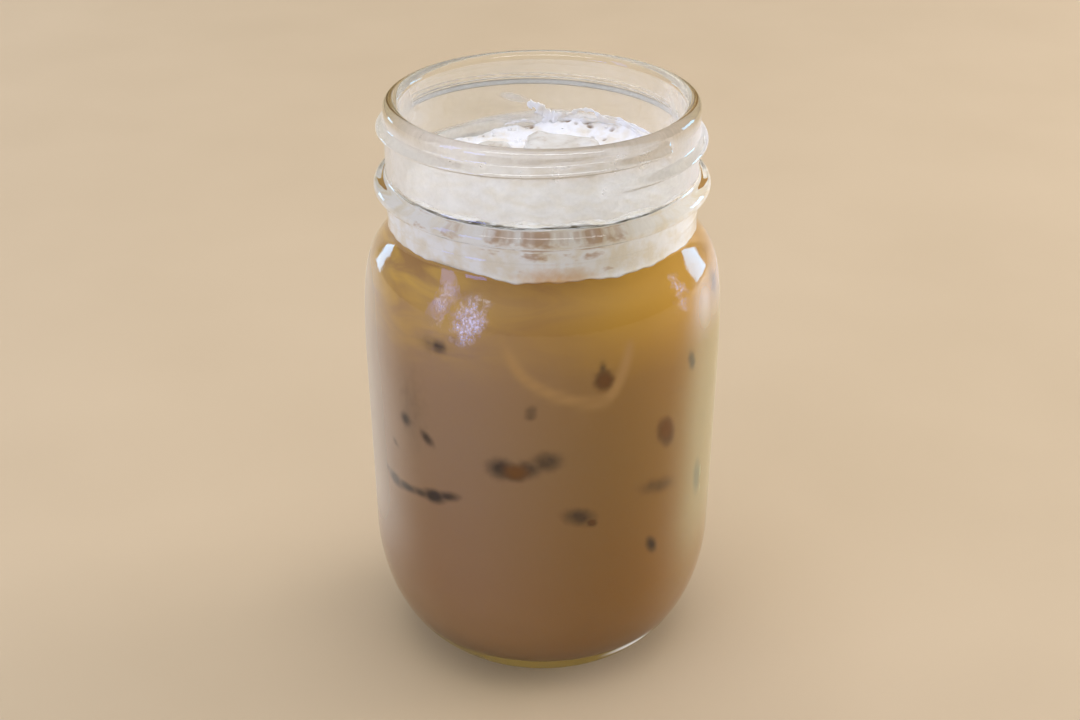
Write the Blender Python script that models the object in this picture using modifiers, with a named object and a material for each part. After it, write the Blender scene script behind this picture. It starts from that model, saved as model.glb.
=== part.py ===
"""An iced milk coffee in a screw-neck preserving jar, with its foam and the ice that stands out of it.

Metres, +Z up. The origin is the middle of the ring that the jar stands on. -Y is the front.
Angles round the jar are counted from the front, anticlockwise seen from above.
"""

import math

import bmesh
import bpy

# Jar, outside
JAR_HEIGHT = 0.1300
RIM_RADIUS = 0.03325
NECK_RADIUS = 0.0332
NECK_ROOT_Z = 0.1029
NECK_ROOT_INSIDE_Z = 0.1025
BODY_TOP_RADIUS = 0.03934
BODY_TOP_Z = 0.0743
HEEL_RADIUS = 0.03883
HEEL_Z = 0.0278
FOOT_RADIUS = 0.0250
FOOT_CORNER = 0.0007
FOOT_INNER_RADIUS = 0.0205
PUSH_UP = 0.0020

# Glass thickness
NECK_WALL = 0.0033
BODY_WALL = 0.0025
HEEL_WALL = 0.0027
BASE_WALL = 0.0068

# Bead below the thread
BEAD_RADIUS = 0.03584
BEAD_Z = 0.1119
BEAD_HALF_HEIGHT = 0.0020

# Screw thread: one start, rising anticlockwise
THREAD_RADIUS = 0.0349
THREAD_PITCH = 0.00508
THREAD_FRONT_Z = 0.1204
THREAD_FROM = math.radians(20)
THREAD_TO = math.radians(411)
THREAD_FADE = math.radians(14)
THREAD_HALF_ROOT = 0.00135
THREAD_HALF_CREST = 0.00055
THREAD_BURIED = 0.0012

# Contents
GAP = 0.0003
COFFEE_LEVEL = 0.1012
FOAM_LEVEL = 0.1116
FOAM_WAVE = 0.00035
FOAM_CLIMB = 0.0028
FOAM_CLIMB_ANGLE = math.radians(152)
FOAM_CLIMB_SPREAD = math.radians(33)
FOAM_CLIMB_REACH = 0.0042

# Ice: middle of the top; width, depth and height; turns about X, Y and Z in degrees; rounding of the edges
ICE_TAPER = 0.86
ICE = {
    "ice_right": ((0.0034, 0.0114, 0.1149), (0.0172, 0.0185, 0.0162), (2.0, 5.0, -8.0), 0.0028),
    "ice_left": ((-0.0110, 0.0100, 0.1145), (0.0084, 0.0140, 0.0145), (3.0, 3.0, 0.0), 0.0026),
}

SEGMENTS = 64
MERGE = 0.00001


def clear_scene():
    """Remove every object of the file that this runs in."""
    for obj in list(bpy.data.objects):
        bpy.data.objects.remove(obj, do_unlink=True)


def linear(hex_colour):
    """An sRGB hex colour as linear RGBA."""
    channels = [int(hex_colour[i : i + 2], 16) / 255 for i in (1, 3, 5)]
    return [c / 12.92 if c <= 0.04045 else ((c + 0.055) / 1.055) ** 2.4 for c in channels] + [1.0]


def finish(name, colour, roughness, transmission=0.0, ior=1.45):
    """A Principled material with no metal in it."""
    material = bpy.data.materials.new(name)
    material.use_nodes = True
    shader = material.node_tree.nodes["Principled BSDF"]
    shader.inputs["Base Color"].default_value = linear(colour)
    shader.inputs["Roughness"].default_value = roughness
    shader.inputs["Metallic"].default_value = 0.0
    shader.inputs["Transmission Weight"].default_value = transmission
    shader.inputs["IOR"].default_value = ior
    return material


def new_object(name, mesh, collection):
    obj = bpy.data.objects.new(name, mesh)
    collection.objects.link(obj)
    return obj


def as_cutter(obj):
    """Keep a helper shape out of the picture."""
    obj.hide_render = True
    obj.display_type = "WIRE"
    return obj


def quarter_ellipse(centre, radii, start, end, count):
    """Points of an elliptical arc, in degrees from +r towards +z."""
    points = []
    for i in range(count + 1):
        a = math.radians(start + (end - start) * i / count)
        points.append((centre[0] + radii[0] * math.cos(a), centre[1] + radii[1] * math.sin(a)))
    return points


def bezier(p0, p1, p2, p3, count):
    """Points of a cubic curve from p0 to p3, drawn towards p1 and p2."""
    points = []
    for i in range(count + 1):
        t = i / count
        u = 1 - t
        weights = (u**3, 3 * u * u * t, 3 * u * t * t, t**3)
        points.append(
            tuple(sum(w * p[k] for w, p in zip(weights, (p0, p1, p2, p3))) for k in (0, 1))
        )
    return points


def outside_profile():
    """The jar's outer side from the top of the lip down to the middle of the base."""
    lip = NECK_WALL / 2
    top = quarter_ellipse((RIM_RADIUS - lip, JAR_HEIGHT - lip), (lip, lip), 90, 0, 3)
    neck_top = [(NECK_RADIUS, JAR_HEIGHT - 0.0030)]
    swell = BEAD_RADIUS - NECK_RADIUS
    bead = quarter_ellipse((NECK_RADIUS, BEAD_Z), (swell, BEAD_HALF_HEIGHT), 78, -78, 6)
    bead_in = [(NECK_RADIUS, BEAD_Z + BEAD_HALF_HEIGHT + 0.0006)]
    bead_out = [(NECK_RADIUS, BEAD_Z - BEAD_HALF_HEIGHT - 0.0006)]
    shoulder = bezier(
        (NECK_RADIUS, NECK_ROOT_Z),
        (NECK_RADIUS + 0.0030, NECK_ROOT_Z - 0.0076),
        (BODY_TOP_RADIUS, BODY_TOP_Z + 0.0262),
        (BODY_TOP_RADIUS, BODY_TOP_Z),
        9,
    )
    heel = bezier(
        (HEEL_RADIUS, HEEL_Z),
        (HEEL_RADIUS - 0.0001, HEEL_Z - 0.0052),
        (HEEL_RADIUS - 0.0017, HEEL_Z - 0.0206),
        (FOOT_RADIUS + FOOT_CORNER, FOOT_CORNER),
        8,
    )
    base = [
        (FOOT_RADIUS, 0.0),
        (FOOT_INNER_RADIUS, 0.0),
        (FOOT_INNER_RADIUS - 0.0030, PUSH_UP * 0.65),
        (FOOT_INNER_RADIUS * 0.5, PUSH_UP * 0.92),
        (0.0, PUSH_UP),
    ]
    return top + neck_top + bead_in + bead + bead_out + shoulder + heel + base


def hollow_profile(gap=0.0):
    """The jar's inner side from the middle of its floor up to the lip, drawn in by gap."""
    neck = NECK_RADIUS - NECK_WALL - gap
    body = BODY_TOP_RADIUS - BODY_WALL - gap
    floor = [(0.0, BASE_WALL + 0.0010 + gap), (FOOT_RADIUS * 0.5, BASE_WALL + 0.0006 + gap)]
    heel = bezier(
        (FOOT_RADIUS - 0.0030, BASE_WALL + gap),
        (HEEL_RADIUS - HEEL_WALL - 0.0036, BASE_WALL + 0.0030 + gap),
        (HEEL_RADIUS - HEEL_WALL - gap, HEEL_Z - 0.0112),
        (HEEL_RADIUS - HEEL_WALL - gap, HEEL_Z),
        7,
    )
    shoulder = bezier(
        (body, BODY_TOP_Z),
        (body, BODY_TOP_Z + 0.0240),
        (neck + 0.0030, NECK_ROOT_INSIDE_Z - 0.0088),
        (neck, NECK_ROOT_INSIDE_Z),
        7,
    )
    return floor + heel + shoulder


def jar_profile():
    """The whole wall: floor, inside, lip, outside and base, as one open line between two points on the axis."""
    lip = NECK_WALL / 2
    mouth = quarter_ellipse((RIM_RADIUS - lip, JAR_HEIGHT - lip), (lip, lip), 180, 90, 3)
    return hollow_profile() + mouth[:-1] + outside_profile()


def radius_at(profile, z):
    """The radius of a rising profile at height z."""
    for (r0, z0), (r1, z1) in zip(profile, profile[1:]):
        if z0 <= z <= z1 and z1 > z0:
            return r0 + (r1 - r0) * (z - z0) / (z1 - z0)
    return profile[-1][0]


def turned(name, profile, collection):
    """A solid of revolution: the profile carried once round the Z axis."""
    mesh = bpy.data.meshes.new(name)
    points = [(r, 0.0, z) for r, z in profile]
    mesh.from_pydata(points, [(i, i + 1) for i in range(len(points) - 1)], [])
    obj = new_object(name, mesh, collection)
    screw = obj.modifiers.new("Turn", "SCREW")
    screw.axis = "Z"
    screw.angle = math.tau
    screw.steps = SEGMENTS
    screw.render_steps = SEGMENTS
    screw.use_merge_vertices = True
    screw.merge_threshold = MERGE
    screw.use_smooth_shade = True
    return obj


def settle(obj):
    """Turn an object's modifiers into mesh."""
    bpy.context.view_layer.update()
    evaluated = obj.evaluated_get(bpy.context.evaluated_depsgraph_get())
    mesh = bpy.data.meshes.new_from_object(evaluated)
    obj.modifiers.clear()
    obj.data = mesh
    return obj


def thread_section(swell):
    """The ridge's cross-section as (radius, height) pairs; swell is 1 where it is full and 0 where it ends."""
    crest = NECK_RADIUS - 0.0003 + (THREAD_RADIUS - NECK_RADIUS + 0.0003) * swell
    root = NECK_RADIUS - THREAD_BURIED
    half_root = THREAD_HALF_ROOT * (0.5 + 0.5 * swell)
    half_crest = THREAD_HALF_CREST * (0.5 + 0.5 * swell)
    return [
        (root, -half_root * 1.25),
        (NECK_RADIUS, -half_root),
        (crest, -half_crest),
        (crest, half_crest),
        (NECK_RADIUS, half_root),
        (root, half_root * 1.25),
    ]


def thread(collection):
    """The helical ridge: its section carried up the neck, fading out at both ends."""
    steps = round((THREAD_TO - THREAD_FROM) / (math.tau / SEGMENTS))
    bm = bmesh.new()
    rings = []
    for i in range(steps + 1):
        angle = THREAD_FROM + (THREAD_TO - THREAD_FROM) * i / steps
        run_in = min(1.0, (angle - THREAD_FROM) / THREAD_FADE)
        run_out = min(1.0, (THREAD_TO - angle) / (THREAD_FADE * 0.35))
        swell = math.sin(min(run_in, run_out) * math.pi / 2)
        z = THREAD_FRONT_Z + THREAD_PITCH * angle / math.tau
        ring = []
        for r, dz in thread_section(swell):
            ring.append(bm.verts.new((r * math.sin(angle), -r * math.cos(angle), z + dz)))
        rings.append(ring)
    for lower, upper in zip(rings, rings[1:]):
        for k in range(len(lower)):
            j = (k + 1) % len(lower)
            bm.faces.new((lower[k], upper[k], upper[j], lower[j]))
    bm.faces.new(rings[0])
    bm.faces.new(rings[-1][::-1])
    bmesh.ops.recalc_face_normals(bm, faces=bm.faces)
    mesh = bpy.data.meshes.new("thread_ridge")
    bm.to_mesh(mesh)
    bm.free()
    return as_cutter(new_object("thread_ridge", mesh, collection))


def combine(obj, other, operation):
    """Add a Boolean of obj with other."""
    cut = obj.modifiers.new(f"{operation.title()} {other.name}", "BOOLEAN")
    cut.operation = operation
    cut.object = other
    cut.solver = "EXACT"


def jar(collection, cutters):
    """The pressed glass: a turned wall with its thread fused on."""
    obj = turned("jar", jar_profile(), collection)
    combine(obj, thread(cutters), "UNION")
    obj.data.materials.append(finish("clear glass", "#EEF2EA", 0.03, 1.0, 1.52))
    return obj


def ice_block(name, collection, grow=0.0):
    """A rounded, tapered block of ice, larger by grow on every side when it serves as a cutter."""
    top, size, turn, rounding = ICE[name]
    bpy.ops.mesh.primitive_cube_add(size=1.0)
    obj = bpy.context.active_object
    obj.name = name if grow == 0.0 else f"{name}_room"
    obj.data.name = obj.name
    for vertex in obj.data.vertices:
        narrowing = ICE_TAPER if vertex.co.z < 0 else 1.0
        vertex.co.x *= (size[0] * narrowing) + 2 * grow
        vertex.co.y *= (size[1] * narrowing) + 2 * grow
        vertex.co.z *= size[2] + 2 * grow
    obj.location = (top[0], top[1], top[2] - size[2] / 2)
    obj.rotation_euler = [math.radians(a) for a in turn]
    for owner in list(obj.users_collection):
        owner.objects.unlink(obj)
    collection.objects.link(obj)
    bevel = obj.modifiers.new("Melted edges", "BEVEL")
    bevel.width = rounding + grow
    bevel.segments = 3
    bevel.limit_method = "NONE"
    obj.data.polygons.foreach_set("use_smooth", [True] * len(obj.data.polygons))
    if grow:
        as_cutter(obj)
    else:
        obj.data.materials.append(finish(f"{name} frozen water", "#E9EDEC", 0.12, 1.0, 1.31))
    return obj


def coffee(collection, rooms):
    """The drink, from the jar's floor up to the underside of the foam."""
    wall = [p for p in hollow_profile(GAP) if p[1] < COFFEE_LEVEL]
    edge = (radius_at(hollow_profile(GAP), COFFEE_LEVEL), COFFEE_LEVEL)
    obj = turned("coffee", (wall + [edge, (0.0, COFFEE_LEVEL)])[::-1], collection)
    for room in rooms:
        combine(obj, room, "DIFFERENCE")
    obj.data.materials.append(finish("milk coffee", "#A47F4E", 0.35))
    return obj


def foam_height(x, y):
    """How far the foam's top stands above its level: slow waves, and a lick up the wall at the back."""
    wave = math.sin(190 * x + 1.3) * math.cos(230 * y - 0.4) + 0.6 * math.sin(410 * x - 260 * y)
    radius = math.hypot(x, y)
    angle = math.atan2(x, -y) % math.tau
    inset = NECK_RADIUS - NECK_WALL - GAP - radius
    turn = (angle - FOAM_CLIMB_ANGLE) / FOAM_CLIMB_SPREAD
    lick = math.exp(-turn * turn - inset / FOAM_CLIMB_REACH)
    meniscus = math.exp(-inset / 0.0010)
    return FOAM_WAVE * wave + FOAM_CLIMB * lick + 0.0006 * meniscus


def foam(collection, rooms):
    """The milky head between the drink and the air."""
    low = COFFEE_LEVEL + GAP
    wall = hollow_profile(GAP)
    rim = NECK_RADIUS - NECK_WALL - GAP
    rings = [0.0, 0.0055, 0.0105, 0.0150, 0.0190, 0.0225, 0.0252, 0.0274, 0.0288, rim]
    top = [(r, FOAM_LEVEL) for r in rings]
    side = [(rim, NECK_ROOT_INSIDE_Z), (radius_at(wall, low), low)]
    obj = settle(turned("foam", top + side + [(0.0, low)], collection))
    for vertex in obj.data.vertices:
        if vertex.co.z > FOAM_LEVEL - MERGE:
            vertex.co.z += foam_height(vertex.co.x, vertex.co.y)
    for room in rooms:
        combine(obj, room, "DIFFERENCE")
    obj.data.materials.append(finish("milk foam", "#EDE6DA", 0.55))
    return obj


def main():
    clear_scene()
    parts = bpy.data.collections.new("iced_coffee_jar")
    cutters = bpy.data.collections.new("cutters")
    for collection in (parts, cutters):
        bpy.context.scene.collection.children.link(collection)
    jar(parts, cutters)
    rooms = []
    for name in ICE:
        ice_block(name, parts)
        rooms.append(ice_block(name, cutters, GAP))
    coffee(parts, rooms)
    foam(parts, rooms)


main()
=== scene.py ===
import math

import bpy
import numpy as np
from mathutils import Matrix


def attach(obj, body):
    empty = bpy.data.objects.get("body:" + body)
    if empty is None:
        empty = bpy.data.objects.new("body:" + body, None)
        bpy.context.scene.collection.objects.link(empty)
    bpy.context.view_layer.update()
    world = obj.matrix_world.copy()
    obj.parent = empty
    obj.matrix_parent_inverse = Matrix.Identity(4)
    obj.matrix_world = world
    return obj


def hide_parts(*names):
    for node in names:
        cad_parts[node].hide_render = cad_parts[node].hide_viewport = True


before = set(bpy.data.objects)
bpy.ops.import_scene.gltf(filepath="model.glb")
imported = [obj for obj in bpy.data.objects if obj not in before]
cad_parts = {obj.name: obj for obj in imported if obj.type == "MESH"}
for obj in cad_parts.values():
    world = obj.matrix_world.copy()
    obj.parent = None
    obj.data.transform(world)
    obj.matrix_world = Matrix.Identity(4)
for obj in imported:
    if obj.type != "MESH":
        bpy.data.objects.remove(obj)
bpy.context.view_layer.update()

MM = 0.001

# Jar, as the solids have it, in millimetres
HEIGHT = 130.0
RIM_R = 33.25
NECK_R = 33.2
NECK_WALL = 3.3
LIP = NECK_WALL / 2
NECK_ROOT = 102.9
BODY_R = 39.34
BODY_TOP = 74.3
BODY_WALL = 2.5
HEEL_R = 38.83
HEEL_TOP = 27.8
HEEL_WALL = 2.7
BASE_WALL = 6.8
FOOT_R = 25.0
FOOT_CORNER = 0.7
FOOT_INNER_R = 20.5
PUSH_UP = 2.0
KNURLS = 72
KNURL_DEPTH = 0.18
BEAD_R = 35.84
BEAD_MID = 111.9
BEAD_HALF = 2.0
THREAD_R = 34.9
THREAD_PITCH = 5.08
THREAD_FRONT = 120.4
THREAD_FOOT = 117.2
THREAD_FROM = math.radians(20)
THREAD_TO = math.radians(411)
THREAD_HALF_LOW = 1.05
THREAD_HALF_HIGH = 2.0
MOULD_JOINT = 106.3
MOULD_JOINT_RISE = 0.16
MOULD_SIDES = (-57.0, 123.0)
MOULD_SIDE_RISE = 0.11

# Heights between which something on the jar comes up, and between which it goes again
SEAM_HEIGHTS = (90.0, 104.0, 126.0, 128.0)
# Glancing haze, partly painted reflection, and the base's painted olive band of light, by height
HAZE_AND_SHEEN_HEIGHTS = (16.0, 44.0, 92.0, 102.0)
NECK_HAZE_AND_SHEEN_HEIGHTS = (114.0, 115.0, 125.5, 127.0)
PAINTED_BASE_BAND_HEIGHTS = (1.2, 2.2, 8.4, 9.4)

# Contents, in millimetres. They reach a little into the wall, so that no gap shows between them and the glass
COFFEE_LEVEL = 101.2
FOAM_LEVEL = 111.6
MOUTH_R = NECK_R - NECK_WALL
INTO_WALL = 0.20
FOAM_INTO_WALL = 0.26
COFFEE_FACE_R = 37.0

# The photo's view: lens and sideways shift in pixels of the frame, the rest in metres and degrees
FRAME_WIDE = 1080
LENS = 1600
SHIFT = -2.2
SENSOR = 36.0
CAMERA_PITCH = 28.042
CAMERA_REACH = 0.36211
CAMERA_AIM = 0.06767
LAMP_AIM = 0.09


def linear(hex_colour):
    """An sRGB hex colour as opaque linear RGBA."""
    channels = [int(hex_colour[i : i + 2], 16) / 255 for i in (1, 3, 5)]
    return [c / 12.92 if c <= 0.04045 else ((c + 0.055) / 1.055) ** 2.4 for c in channels] + [1.0]


def ramp(low, high, x):
    """0 below low, 1 above high, and a smooth step between them."""
    t = np.clip((x - low) / (high - low), 0.0, 1.0)
    return t * t * (3 - 2 * t)


def between(low, low_full, high_full, high, x):
    """1 from low_full to high_full, 0 outside low and high, and a smooth step on either side."""
    return ramp(low, low_full, x) * (1 - ramp(high_full, high, x))


def bell(middle, width, x):
    """A bell curve: e to the power of minus the square of (x - middle) / width."""
    return np.exp(-(((x - middle) / width) ** 2))


def waves(points, size, seed, count=14):
    """Unevenness between about -1 and 1: the sum of plane waves about `size` long, in seeded directions."""
    rng = np.random.default_rng(seed)
    total = np.zeros(points.shape[:-1])
    for _ in range(count):
        way = rng.normal(size=3)
        way *= math.tau / (size * rng.uniform(0.7, 1.6)) / np.linalg.norm(way)
        total += np.sin(points @ way + rng.uniform(0, math.tau))
    return total / math.sqrt(count)


def arc(centre, radii, start, end, count):
    """Points of an ellipse's arc as an array of (radius, height), in degrees from outwards towards up."""
    a = np.radians(np.linspace(start, end, count))
    return np.stack([centre[0] + radii[0] * np.cos(a), centre[1] + radii[1] * np.sin(a)], -1)


def curve(p0, p1, p2, p3, count):
    """Points of a cubic Bezier curve as an array of (radius, height)."""
    t = np.linspace(0, 1, count)[:, None]
    p0, p1, p2, p3 = (np.array(p) for p in (p0, p1, p2, p3))
    return (1 - t) ** 3 * p0 + 3 * (1 - t) ** 2 * t * p1 + 3 * (1 - t) * t * t * p2 + t**3 * p3


def straight(p0, p1, count):
    """Points of a straight line without its ends."""
    t = np.linspace(0, 1, count + 2)[1:-1, None]
    return (1 - t) * np.array(p0) + t * np.array(p1)


def placed(name, data):
    """An object of the scene for a mesh, a lamp or a camera."""
    obj = bpy.data.objects.new(name, data)
    bpy.context.scene.collection.objects.link(obj)
    return obj


def new_piece(name, points, faces, attributes=None):
    """A mesh object from millimetres, its faces turned outwards by the sign of the volume they enclose."""
    points = points * MM
    a, b, c, d = (points[faces[:, k]] for k in range(4))
    if np.einsum("ij,ij", a, np.cross(b, c) + np.cross(c, d)) < 0:
        faces = faces[:, ::-1]
    mesh = bpy.data.meshes.new(name)
    # A quad that names a point twice is a triangle at a pole
    mesh.from_pydata(points.tolist(), [], [tuple(dict.fromkeys(f)) for f in faces.tolist()])
    mesh.polygons.foreach_set("use_smooth", np.ones(len(mesh.polygons), bool))
    for key, values in (attributes or {}).items():
        mesh.attributes.new(key, "FLOAT", "POINT").data.foreach_set("value", np.ravel(values))
    mesh.update()
    return placed(name, mesh)


def grid_faces(rows, columns, ring=False):
    """Quads between rows of points that each close on themselves; in a ring the last row meets the first."""
    i = np.arange(rows if ring else rows - 1)[:, None] * columns
    j = np.arange(columns)[None, :]
    k = (j + 1) % columns
    up = (i + columns) % (rows * columns)
    return np.stack([i + j, i + k, up + k, up + j], -1).reshape(-1, 4)


def closed_rows(grid):
    """Points and faces of closed rows; one point in the middle shuts the first row, and one the last."""
    rows, columns = grid.shape[:2]
    points = np.vstack([grid.reshape(-1, 3), grid[0].mean(0), grid[-1].mean(0)])
    j = np.arange(columns)
    k = (j + 1) % columns
    low, high = rows * columns, rows * columns + 1
    top = (rows - 1) * columns
    first = np.stack([np.full(columns, low), k, j, j], -1)
    last = np.stack([np.full(columns, high), top + j, top + k, top + k], -1)
    return points, np.vstack([grid_faces(rows, columns), first, last])


def closed_piece(name, grid, fields=None):
    """The piece of closed rows. A field holds values for its last rows, and is 0 before them and at poles."""
    points, faces = closed_rows(grid)
    attributes = {}
    for key, field in (fields or {}).items():
        before = np.zeros(len(points) - 2 - field.size)
        attributes[key] = np.concatenate([before, field.ravel(), (0, 0)])
    return new_piece(name, points, faces, attributes)


def turned(profile, columns):
    """The profile carried round the axis: rows of (r sin a, -r cos a, z), from the front towards +X."""
    a = np.arange(columns) / columns * math.tau
    r, z = profile[:, 0:1], profile[:, 1:2]
    return np.stack([r * np.sin(a), -r * np.cos(a), z + 0 * a], -1)


def front_angle(points):
    """The angle round the jar from the front, anticlockwise seen from above, from 0 to a full turn."""
    return np.arctan2(points[..., 0], -points[..., 1]) % math.tau


def signed(angle):
    """The same angle from minus half a turn to half a turn."""
    return (angle + math.pi) % math.tau - math.pi


def outside_profile():
    """Lip, neck, bead, shoulder, body and heel, from the top of the lip to the middle of the base.

    Lip and bead are arcs, the neck, body and foot are straight, and Bezier curves join them.
    """
    neck = np.linspace(HEIGHT - 2.6, THREAD_FOOT, 66)
    bead = arc((NECK_R, BEAD_MID), (BEAD_R - NECK_R, BEAD_HALF), 74, -74, 22)
    above = [(NECK_R, BEAD_MID + BEAD_HALF + off) for off in (1.0, 0.3)]
    below = [(NECK_R, BEAD_MID - BEAD_HALF - off) for off in (0.3, 1.0)]
    upper_fillet = curve(*above, bead[0] + (-0.2, 0.05), bead[0], 6)
    lower_fillet = curve(bead[-1], bead[-1] + (-0.2, -0.05), *below, 6)
    shoulder = curve(
        (NECK_R, NECK_ROOT),
        (NECK_R + 3.0, NECK_ROOT - 7.6),
        (BODY_R, BODY_TOP + 26.2),
        (BODY_R, BODY_TOP),
        34,
    )
    heel = curve(
        (HEEL_R, HEEL_TOP),
        (HEEL_R - 0.1, HEEL_TOP - 5.2),
        (HEEL_R - 1.7, HEEL_TOP - 20.6),
        (FOOT_R + FOOT_CORNER, FOOT_CORNER),
        40,
    )
    push_up = curve(
        (FOOT_INNER_R, 0.0),
        (FOOT_INNER_R - 1.6, 1.1),
        (FOOT_INNER_R - 6.0, PUSH_UP),
        (1.2, PUSH_UP),
        14,
    )
    return np.vstack(
        [
            arc((RIM_R - LIP, HEIGHT - LIP), (LIP, LIP), 90, 0, 12),
            np.stack([np.full(66, NECK_R), neck], -1),
            straight((NECK_R, THREAD_FOOT), upper_fillet[0], 2),
            upper_fillet[:-1],
            bead,
            lower_fillet[1:],
            straight(lower_fillet[-1], (NECK_R, NECK_ROOT), 30),
            shoulder,
            straight((BODY_R, BODY_TOP), (HEEL_R, HEEL_TOP), 14),
            heel[:-1],
            arc((FOOT_R, FOOT_CORNER), (FOOT_CORNER, FOOT_CORNER), -30, -90, 6),
            straight((FOOT_R, 0.0), (FOOT_INNER_R, 0.0), 5),
            push_up,
        ]
    )


def hollow_profile(out=0.0):
    """The inner wall from the middle of the floor to the root of the neck, moved into the glass by `out`."""
    neck = MOUTH_R + out
    body = BODY_R - BODY_WALL + out
    heel = HEEL_R - HEEL_WALL + out
    base = BASE_WALL - out
    floor = [(1.0, base + 1.0), (FOOT_R * 0.3, base + 0.8), (FOOT_R * 0.6, base + 0.4)]
    corner = curve(
        (FOOT_R - 3.0, base),
        (heel - 3.6, base + 3.0),
        (heel, HEEL_TOP - 11.2),
        (heel, HEEL_TOP),
        26,
    )
    wall = straight((heel, HEEL_TOP), (body, BODY_TOP), 70)
    shoulder = curve(
        (body, BODY_TOP),
        (body, BODY_TOP + 24.0),
        (neck + 3.0, NECK_ROOT - 9.2),
        (neck, NECK_ROOT - 0.4),
        34,
    )
    return np.vstack([floor, corner, wall, shoulder])


def thread_ridge(angle, z):
    """How far the thread stands out: a squared cosine across a helix, steeper below, fading at its ends."""
    height = np.zeros(np.broadcast(angle, z).shape)
    for turn in (0.0, math.tau):
        a = angle + turn
        middle = THREAD_FRONT + THREAD_PITCH * a / math.tau
        fade = between(THREAD_FROM - 0.1, THREAD_FROM + 0.75, THREAD_TO - 0.07, THREAD_TO, a)
        flank = np.where(z < middle, THREAD_HALF_LOW, THREAD_HALF_HIGH)
        ridge = np.cos(np.clip(np.abs(z - middle) / flank, 0, 1) * math.pi / 2) ** 2
        height = np.maximum(height, ridge * fade)
    return (THREAD_R - NECK_R) * height


def seam(angle, z):
    """The raised lines that the neck mould's halves leave: a bell curve across, on two opposite sides."""
    line = sum(bell(0.0, 0.28, signed(angle - math.radians(place)) * NECK_R) for place in MOULD_SIDES)
    return MOULD_SIDE_RISE * line * between(*SEAM_HEIGHTS, z)


def jar():
    """Pressed glass jar: one closed wall with thread, bead, mould seams and a knurled foot.

    The outside's radius grows by the thread's ridge, the seams and the mould joint, and the ring that it
    stands on is raised between its knurls by half of 1 - cos(72 a). The fields say where the finish has dew
    with painted glints, a pale haze at glancing angles that is partly mist and partly painted reflection, the
    base's painted olive band of light and painted highlight streak, and the lip's sides painted ochre.
    """
    columns = 288
    # The neck's inside is straight, so rows near its ends are enough
    inner_neck = [(MOUTH_R, z) for z in (NECK_ROOT, NECK_ROOT + 1.0, HEIGHT - 3.4, HEIGHT - 2.4)]
    mouth = arc((RIM_R - LIP, HEIGHT - LIP), (LIP, LIP), 180, 90, 12)
    hollow = hollow_profile()
    floor, wall, shoulder = hollow[:29], hollow[29:99:5], hollow[99:]
    inside = np.vstack([floor, wall, shoulder, inner_neck, mouth[:-1]])
    grid = turned(np.vstack([inside, outside_profile()]), columns)
    skin = grid[len(inside) :]
    angle, z = front_angle(skin), skin[..., 2]
    r = np.hypot(skin[..., 0], skin[..., 1])
    on_neck = (z > 100.0) & (z < 129.0)
    grow = np.where(on_neck, thread_ridge(angle, z), 0.0) + seam(angle, z)
    grow += MOULD_JOINT_RISE * bell(MOULD_JOINT, 0.35, z) * (r < NECK_R + 0.6)
    skin[..., :2] *= ((r + grow) / r)[..., None]
    ring = between(FOOT_INNER_R + 0.2, FOOT_INNER_R + 0.9, FOOT_R - 0.9, FOOT_R - 0.2, r)
    knurl = 0.5 - 0.5 * np.cos(KNURLS * angle)
    skin[..., 2] += np.where(z < 0.02, KNURL_DEPTH * knurl * ring, 0.0)
    around, off = np.degrees(angle), np.degrees(signed(angle))
    side = between(20, 70, 110, 160, around)
    # The haze at glancing angles is partly painted reflection: stronger at 52 degrees on the right, with a
    # painted highlight on the shoulder
    veil = (1 - 0.3 * side + 0.7 * bell(52, 13, around)) * between(*HAZE_AND_SHEEN_HEIGHTS, z)
    veil += 1.1 * ramp(0.0, 1.0, nearness([PAINTED_SHOULDER_HIGHLIGHT], angle, z, BODY_R))
    veil += 0.8 * between(*NECK_HAZE_AND_SHEEN_HEIGHTS, z) * (r < THREAD_R - 0.6)
    # Painted olive band of light in the base glass, weaker to the left and at the sides
    base = between(*PAINTED_BASE_BAND_HEIGHTS, z) * (1 - 0.5 * ramp(8, 40, -off))
    fields = {
        "dew": (0.08 + nearness(DEW_PATCHES, angle, z, BODY_R)) * (1 - ramp(100.5, 102.5, z)),
        "veil": veil,
        "base": base * (1 - 0.6 * ramp(50, 85, np.abs(off))),
        # Painted highlight streak on the base
        "streak": nearness([PAINTED_BASE_HIGHLIGHT], angle, z, PAINTED_BASE_HIGHLIGHT_R),
        # The lip's sides painted ochre, standing for the room seen in them
        "lip": ramp(126.6, 128.4, z) * between(30, 75, 105, 125, np.abs(off)),
    }
    return closed_piece("jar_glass", grid, fields)


# Places on a wall: angle from the front in degrees, height, half width, half height, tilt in degrees and how
# strong. Sizes are measured along the wall, in millimetres. First the misted patches of the shoulder, which
# also carry painted glints.
DEW_PATCHES = [
    (-22.9, 94.8, 3.9, 2.5, 61, 1.0),
    (-33.6, 96.6, 4.6, 1.8, 71, 0.45),
    (49.5, 96.5, 2.2, 3.6, 10, 0.60),
]
# A painted highlight on the shoulder, a brighter place of the glancing haze, and the painted highlight streak
# of the base with the radius it lies at
PAINTED_SHOULDER_HIGHLIGHT = (59.0, 93.0, 3.0, 5.0, 14, 1.0)
PAINTED_BASE_HIGHLIGHT = (37.0, 7.9, 4.2, 0.8, 5, 1.0)
PAINTED_BASE_HIGHLIGHT_R = 33.6
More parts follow.
